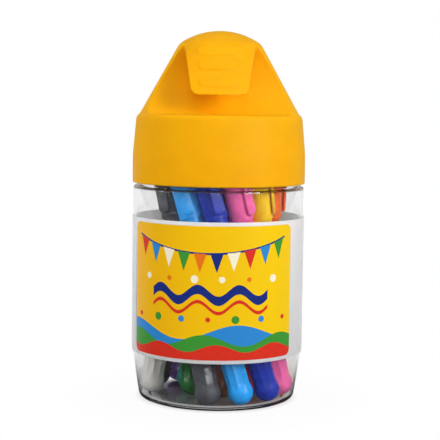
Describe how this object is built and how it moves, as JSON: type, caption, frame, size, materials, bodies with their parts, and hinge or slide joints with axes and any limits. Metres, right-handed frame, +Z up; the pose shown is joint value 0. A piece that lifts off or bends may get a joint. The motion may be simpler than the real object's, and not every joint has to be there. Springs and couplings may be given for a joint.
{
  "type": "twist crayon tub",
  "caption": "Clear tapered tub of twist-up crayons with a label sleeve and a lift-off lid with a scooped carry grip; each crayon's knob feeds its stick.",
  "frame": {"origin": "middle of the jar's foot, on the surface it stands on", "axes": "+Z up along the jar's axis, -Y towards the front of the label and lid grip"},
  "size_m": [0.081, 0.081, 0.172],
  "materials": {
    "clear_jar": "gloss",
    "label_film": "satin",
    "lid_orange": "satin",
    "grey_plastic": "gloss",
    "sky_plastic": "gloss",
    "blue_plastic": "gloss",
    "pink_plastic": "gloss",
    "yellow_plastic": "gloss",
    "orange_plastic": "gloss",
    "lime_plastic": "gloss",
    "violet_plastic": "gloss",
    "peach_plastic": "gloss",
    "magenta_plastic": "gloss",
    "white_plastic": "gloss",
    "brown_plastic": "gloss",
    "crimson_plastic": "gloss",
    "turquoise_plastic": "gloss",
    "ochre_plastic": "gloss",
    "black_plastic": "gloss",
    "green_plastic": "gloss",
    "red_plastic": "gloss",
    "carrier_white": "matte",
    "red_wax": "matte"
  },
  "bodies": {
    "tub": {"jar": "clear_jar", "label": "label_film", "grey_case": "grey_plastic", "sky_case": "sky_plastic", "blue_case": "blue_plastic", "pink_case": "pink_plastic", "yellow_case": "yellow_plastic", "orange_case": "orange_plastic", "lime_case": "lime_plastic", "peach_case": "peach_plastic", "violet_case": "violet_plastic", "black_case": "black_plastic", "white_case": "white_plastic", "brown_case": "brown_plastic", "crimson_case": "crimson_plastic", "magenta_case": "magenta_plastic", "ochre_case": "ochre_plastic", "turquoise_case": "turquoise_plastic", "green_case": "green_plastic", "red_barrel": "red_plastic"},
    "lid": {"lid": "lid_orange"},
    "red_cap": {"red_cap": "red_plastic"},
    "grey_knob": {"grey_knob": "grey_plastic"},
    "grey_core": {"grey_core": "grey_plastic"},
    "sky_knob": {"sky_knob": "sky_plastic"},
    "sky_core": {"sky_core": "sky_plastic"},
    "blue_knob": {"blue_knob": "blue_plastic"},
    "blue_core": {"blue_core": "blue_plastic"},
    "pink_knob": {"pink_knob": "pink_plastic"},
    "pink_core": {"pink_core": "pink_plastic"},
    "yellow_knob": {"yellow_knob": "yellow_plastic"},
    "yellow_core": {"yellow_core": "yellow_plastic"},
    "orange_knob": {"orange_knob": "orange_plastic"},
    "orange_core": {"orange_core": "orange_plastic"},
    "lime_knob": {"lime_knob": "lime_plastic"},
    "lime_core": {"lime_core": "lime_plastic"},
    "peach_knob": {"peach_knob": "peach_plastic"},
    "peach_core": {"peach_core": "peach_plastic"},
    "violet_knob": {"violet_knob": "violet_plastic"},
    "violet_core": {"violet_core": "violet_plastic"},
    "black_knob": {"black_knob": "black_plastic"},
    "black_core": {"black_core": "black_plastic"},
    "white_knob": {"white_knob": "white_plastic"},
    "white_core": {"white_core": "white_plastic"},
    "brown_knob": {"brown_knob": "brown_plastic"},
    "brown_core": {"brown_core": "brown_plastic"},
    "crimson_knob": {"crimson_knob": "crimson_plastic"},
    "crimson_core": {"crimson_core": "crimson_plastic"},
    "magenta_knob": {"magenta_knob": "magenta_plastic"},
    "magenta_core": {"magenta_core": "magenta_plastic"},
    "ochre_knob": {"ochre_knob": "ochre_plastic"},
    "ochre_core": {"ochre_core": "ochre_plastic"},
    "turquoise_knob": {"turquoise_knob": "turquoise_plastic"},
    "turquoise_core": {"turquoise_core": "turquoise_plastic"},
    "green_knob": {"green_knob": "green_plastic"},
    "green_core": {"green_core": "green_plastic"},
    "red_knob": {"red_knob": "red_plastic"},
    "red_core": {"red_carrier": "carrier_white", "red_stick": "red_wax"}
  },
  "joints": [
    {"name": "lid_lift", "type": "slide", "parent": "tub", "child": "lid", "axis": [0, 0, 1], "range_m": [0, 0.045]},
    {"name": "red_cap_pull", "type": "slide", "parent": "tub", "child": "red_cap", "axis": [0, 0, 1], "range_m": [0, 0.0145]},
    {"name": "grey_twist", "type": "hinge", "parent": "tub", "child": "grey_knob", "pos_m": [-0.00254, -0.03167, 0.00196], "axis": [-0.204, 0.2145, 0.9552], "range_deg": [0, 900]},
    {"name": "grey_feed", "type": "slide", "parent": "tub", "child": "grey_core", "axis": [-0.204, 0.2145, 0.9552], "range_m": [0, 0.02]},
    {"name": "sky_twist", "type": "hinge", "parent": "tub", "child": "sky_knob", "pos_m": [0.01273, -0.02911, 0.00196], "axis": [-0.2812, 0.0926, 0.9552], "range_deg": [0, 900]},
    {"name": "sky_feed", "type": "slide", "parent": "tub", "child": "sky_core", "axis": [-0.2812, 0.0926, 0.9552], "range_m": [0, 0.02]},
    {"name": "blue_twist", "type": "hinge", "parent": "tub", "child": "blue_knob", "pos_m": [0.02497, -0.01964, 0.00196], "axis": [-0.2916, -0.0513, 0.9552], "range_deg": [0, 900]},
    {"name": "blue_feed", "type": "slide", "parent": "tub", "child": "blue_core", "axis": [-0.2916, -0.0513, 0.9552], "range_m": [0, 0.02]},
    {"name": "pink_twist", "type": "hinge", "parent": "tub", "child": "pink_knob", "pos_m": [0.03129, -0.00551, 0.00196], "axis": [-0.2327, -0.1829, 0.9552], "range_deg": [0, 900]},
    {"name": "pink_feed", "type": "slide", "parent": "tub", "child": "pink_core", "axis": [-0.2327, -0.1829, 0.9552], "range_m": [0, 0.02]},
    {"name": "yellow_twist", "type": "hinge", "parent": "tub", "child": "yellow_knob", "pos_m": [0.03018, 0.00993, 0.00196], "axis": [-0.1187, -0.2712, 0.9552], "range_deg": [0, 900]},
    {"name": "yellow_feed", "type": "slide", "parent": "tub", "child": "yellow_core", "axis": [-0.1187, -0.2712, 0.9552], "range_m": [0, 0.02]},
    {"name": "orange_twist", "type": "hinge", "parent": "tub", "child": "orange_knob", "pos_m": [0.02191, 0.02301, 0.00196], "axis": [0.0236, -0.2951, 0.9552], "range_deg": [0, 900]},
    {"name": "orange_feed", "type": "slide", "parent": "tub", "child": "orange_core", "axis": [0.0236, -0.2951, 0.9552], "range_m": [0, 0.02]},
    {"name": "lime_twist", "type": "hinge", "parent": "tub", "child": "lime_knob", "pos_m": [0.00843, 0.03063, 0.00196], "axis": [0.1602, -0.2489, 0.9552], "range_deg": [0, 900]},
    {"name": "lime_feed", "type": "slide", "parent": "tub", "child": "lime_core", "axis": [0.1602, -0.2489, 0.9552], "range_m": [0, 0.02]},
    {"name": "peach_twist", "type": "hinge", "parent": "tub", "child": "peach_knob", "pos_m": [-0.00705, 0.03098, 0.00196], "axis": [0.2588, -0.1437, 0.9552], "range_deg": [0, 900]},
    {"name": "peach_feed", "type": "slide", "parent": "tub", "child": "peach_core", "axis": [0.2588, -0.1437, 0.9552], "range_m": [0, 0.02]},
    {"name": "violet_twist", "type": "hinge", "parent": "tub", "child": "violet_knob", "pos_m": [-0.02085, 0.02398, 0.00196], "axis": [0.296, -0.0043, 0.9552], "range_deg": [0, 900]},
    {"name": "violet_feed", "type": "slide", "parent": "tub", "child": "violet_core", "axis": [0.296, -0.0043, 0.9552], "range_m": [0, 0.02]},
    {"name": "black_twist", "type": "hinge", "parent": "tub", "child": "black_knob", "pos_m": [-0.02971, 0.01128, 0.00196], "axis": [0.2629, 0.1361, 0.9552], "range_deg": [0, 900]},
    {"name": "black_feed", "type": "slide", "parent": "tub", "child": "black_core", "axis": [0.2629, 0.1361, 0.9552], "range_m": [0, 0.02]},
    {"name": "white_twist", "type": "hinge", "parent": "tub", "child": "white_knob", "pos_m": [-0.03151, -0.0041, 0.00196], "axis": [0.1674, 0.2442, 0.9552], "range_deg": [0, 900]},
    {"name": "white_feed", "type": "slide", "parent": "tub", "child": "white_core", "axis": [0.1674, 0.2442, 0.9552], "range_m": [0, 0.02]},
    {"name": "brown_twist", "type": "hinge", "parent": "tub", "child": "brown_knob", "pos_m": [0.00307, -0.01415, 0.00173], "axis": [-0.1024, 0.0278, 0.9944], "range_deg": [0, 900]},
    {"name": "brown_feed", "type": "slide", "parent": "tub", "child": "brown_core", "axis": [-0.1024, 0.0278, 0.9944], "range_m": [0, 0.02]},
    {"name": "crimson_twist", "type": "hinge", "parent": "tub", "child": "crimson_knob", "pos_m": [0.01378, -0.00442, 0.00173], "axis": [-0.0753, -0.0748, 0.9944], "range_deg": [0, 900]},
    {"name": "crimson_feed", "type": "slide", "parent": "tub", "child": "crimson_core", "axis": [-0.0753, -0.0748, 0.9944], "range_m": [0, 0.02]},
    {"name": "magenta_twist", "type": "hinge", "parent": "tub", "child": "magenta_knob", "pos_m": [0.01072, 0.00973, 0.00173], "axis": [0.0271, -0.1026, 0.9944], "range_deg": [0, 900]},
    {"name": "magenta_feed", "type": "slide", "parent": "tub", "child": "magenta_core", "axis": [0.0271, -0.1026, 0.9944], "range_m": [0, 0.02]},
    {"name": "ochre_twist", "type": "hinge", "parent": "tub", "child": "ochre_knob", "pos_m": [-0.00307, 0.01415, 0.00173], "axis": [0.1024, -0.0278, 0.9944], "range_deg": [0, 900]},
    {"name": "ochre_feed", "type": "slide", "parent": "tub", "child": "ochre_core", "axis": [0.1024, -0.0278, 0.9944], "range_m": [0, 0.02]},
    {"name": "turquoise_twist", "type": "hinge", "parent": "tub", "child": "turquoise_knob", "pos_m": [-0.01378, 0.00442, 0.00173], "axis": [0.0753, 0.0748, 0.9944], "range_deg": [0, 900]},
    {"name": "turquoise_feed", "type": "slide", "parent": "tub", "child": "turquoise_core", "axis": [0.0753, 0.0748, 0.9944], "range_m": [0, 0.02]},
    {"name": "green_twist", "type": "hinge", "parent": "tub", "child": "green_knob", "pos_m": [-0.01072, -0.00973, 0.00173], "axis": [-0.0271, 0.1026, 0.9944], "range_deg": [0, 900]},
    {"name": "green_feed", "type": "slide", "parent": "tub", "child": "green_core", "axis": [-0.0271, 0.1026, 0.9944], "range_m": [0, 0.02]},
    {"name": "red_twist", "type": "hinge", "parent": "tub", "child": "red_knob", "pos_m": [0, 0, 0.0017], "axis": [0, 0, 1], "range_deg": [0, 900]},
    {"name": "red_feed", "type": "slide", "parent": "tub", "child": "red_core", "axis": [0, 0, 1], "range_m": [0, 0.02]}
  ],
  "couplings": [
    {"joint": "grey_twist", "follows": "grey_feed", "rad_per_m": 785.4},
    {"joint": "sky_twist", "follows": "sky_feed", "rad_per_m": 785.4},
    {"joint": "blue_twist", "follows": "blue_feed", "rad_per_m": 785.4},
    {"joint": "pink_twist", "follows": "pink_feed", "rad_per_m": 785.4},
    {"joint": "yellow_twist", "follows": "yellow_feed", "rad_per_m": 785.4},
    {"joint": "orange_twist", "follows": "orange_feed", "rad_per_m": 785.4},
    {"joint": "lime_twist", "follows": "lime_feed", "rad_per_m": 785.4},
    {"joint": "peach_twist", "follows": "peach_feed", "rad_per_m": 785.4},
    {"joint": "violet_twist", "follows": "violet_feed", "rad_per_m": 785.4},
    {"joint": "black_twist", "follows": "black_feed", "rad_per_m": 785.4},
    {"joint": "white_twist", "follows": "white_feed", "rad_per_m": 785.4},
    {"joint": "brown_twist", "follows": "brown_feed", "rad_per_m": 785.4},
    {"joint": "crimson_twist", "follows": "crimson_feed", "rad_per_m": 785.4},
    {"joint": "magenta_twist", "follows": "magenta_feed", "rad_per_m": 785.4},
    {"joint": "ochre_twist", "follows": "ochre_feed", "rad_per_m": 785.4},
    {"joint": "turquoise_twist", "follows": "turquoise_feed", "rad_per_m": 785.4},
    {"joint": "green_twist", "follows": "green_feed", "rad_per_m": 785.4},
    {"joint": "red_twist", "follows": "red_feed", "rad_per_m": 785.4}
  ]
}
